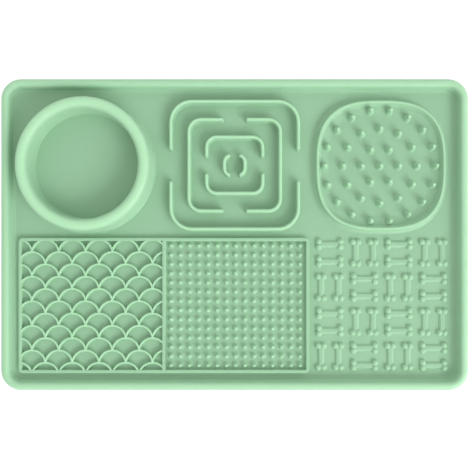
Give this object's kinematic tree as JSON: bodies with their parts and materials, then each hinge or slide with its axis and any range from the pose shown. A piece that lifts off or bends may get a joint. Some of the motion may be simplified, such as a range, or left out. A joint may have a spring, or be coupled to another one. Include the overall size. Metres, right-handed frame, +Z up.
{
  "type": "lick mat",
  "caption": "Flat moulded silicone lick mat: rimmed tray with a round bowl, a low maze, a pegged cup, fish scales, fine studs and bones.",
  "frame": {"origin": "centre of the flat underside", "axes": "+X along the mat's length, towards the bones and the pegged cup; +Y across it, towards the bowl, maze and cup; +Z up"},
  "size_m": [0.3, 0.2, 0.018],
  "materials": {
    "silicone": "soft mint green silicone, satin, as it comes from a lightly textured mould"
  },
  "bodies": {
    "root": {"mat": "silicone"}
  },
  "joints": []
}
